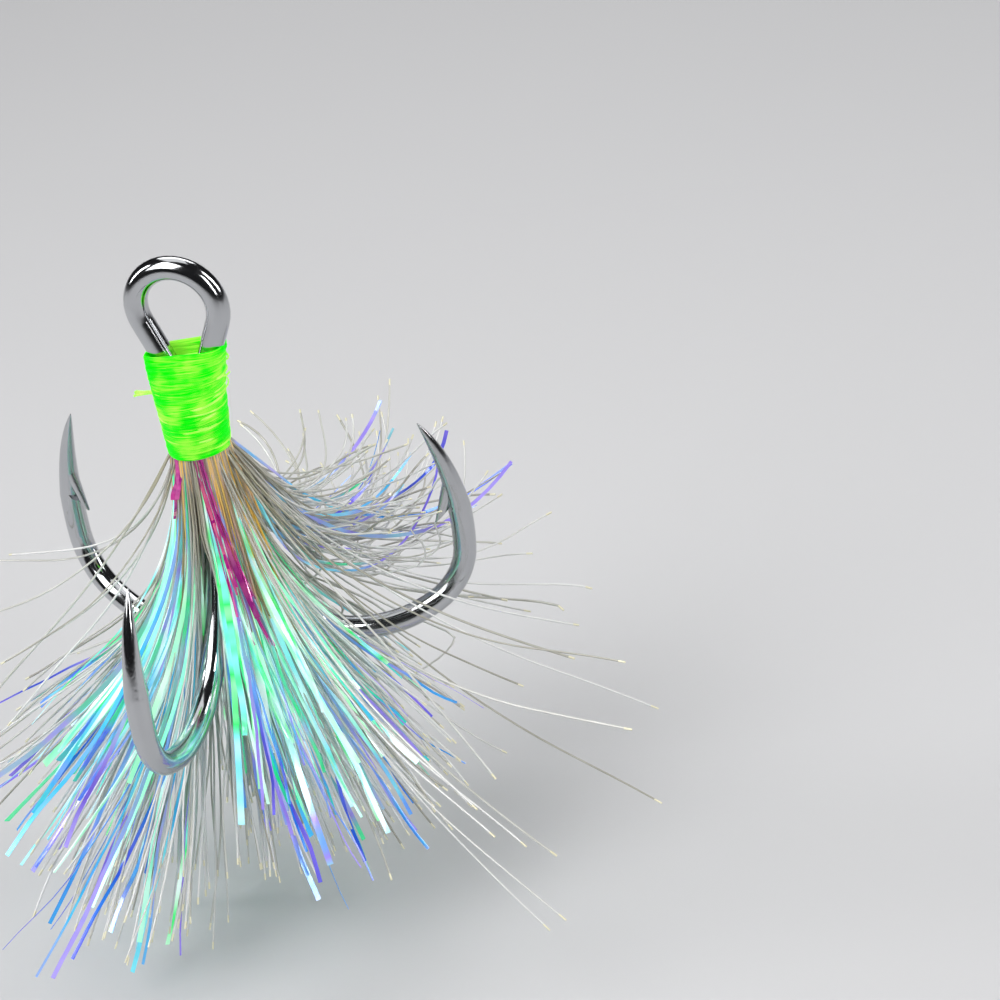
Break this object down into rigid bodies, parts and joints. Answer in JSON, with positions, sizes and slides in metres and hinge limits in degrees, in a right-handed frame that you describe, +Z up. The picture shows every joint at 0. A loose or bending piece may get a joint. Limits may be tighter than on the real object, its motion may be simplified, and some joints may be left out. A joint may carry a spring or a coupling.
{
  "type": "treble hook",
  "caption": "Dressed treble hook: wire eye, barbed bends spread evenly round brazed shanks, a lime thread wrap and a flared skirt of tinsel and nylon hair.",
  "frame": {"origin": "centre of the line eye", "axes": "+Z up along the shanks towards the eye's top, +Y through the eye along its hole, the single hook towards -Y and the other two towards +Y on each side"},
  "size_m": [0.0377, 0.034, 0.0372],
  "materials": {
    "plated_wire": "bright plated steel wire",
    "braze": "dull, under the plating",
    "lime_thread": "fluorescent flat floss",
    "base_thread": "pale flat floss",
    "amber_fibre": "translucent",
    "magenta_strip": "glossy film",
    "pearl_tinsel": "iridescent film",
    "blue_flash": "iridescent film",
    "grey_nylon": "translucent"
  },
  "bodies": {
    "hook_and_wrap": {"twin_hook_wire": "plated_wire", "single_hook_wire": "plated_wire", "shank_braze": "braze", "thread_base_layer": "base_thread", "thread_wrap": "lime_thread", "thread_tag_end": "lime_thread", "fibre_butts": "grey_nylon"},
    "skirt_front_left": {"amber_fibres_front_left": "amber_fibre", "magenta_strips_front_left": "magenta_strip", "pearl_tinsel_front_left": "pearl_tinsel", "blue_flash_front_left": "blue_flash", "grey_hair_left_front_left": "grey_nylon", "grey_hair_right_front_left": "grey_nylon", "stray_hairs_front_left": "grey_nylon"},
    "skirt_front_right": {"amber_fibres_front_right": "amber_fibre", "magenta_strips_front_right": "magenta_strip", "pearl_tinsel_front_right": "pearl_tinsel", "blue_flash_front_right": "blue_flash", "grey_hair_left_front_right": "grey_nylon", "grey_hair_right_front_right": "grey_nylon", "stray_hairs_front_right": "grey_nylon"},
    "skirt_back": {"amber_fibres_back": "amber_fibre", "magenta_strips_back": "magenta_strip", "pearl_tinsel_back": "pearl_tinsel", "blue_flash_back": "blue_flash", "grey_hair_left_back": "grey_nylon", "grey_hair_right_back": "grey_nylon", "swept_hair_back": "grey_nylon"}
  },
  "joints": [
    {"name": "front_left_skirt_flex", "type": "hinge", "parent": "hook_and_wrap", "child": "skirt_front_left", "pos_m": [-0.00139, -0.00116, -0.00785], "axis": [-0.5, 0.866, 0], "range_deg": [0, 18], "stiffness_Nm_per_rad": 0.001},
    {"name": "front_right_skirt_flex", "type": "hinge", "parent": "hook_and_wrap", "child": "skirt_front_right", "pos_m": [0.00139, -0.00116, -0.00785], "axis": [-0.5, -0.866, 0], "range_deg": [0, 18], "stiffness_Nm_per_rad": 0.001},
    {"name": "back_skirt_flex", "type": "hinge", "parent": "hook_and_wrap", "child": "skirt_back", "pos_m": [0, 0.00124, -0.00785], "axis": [1, 0, 0], "range_deg": [0, 18], "stiffness_Nm_per_rad": 0.001}
  ]
}
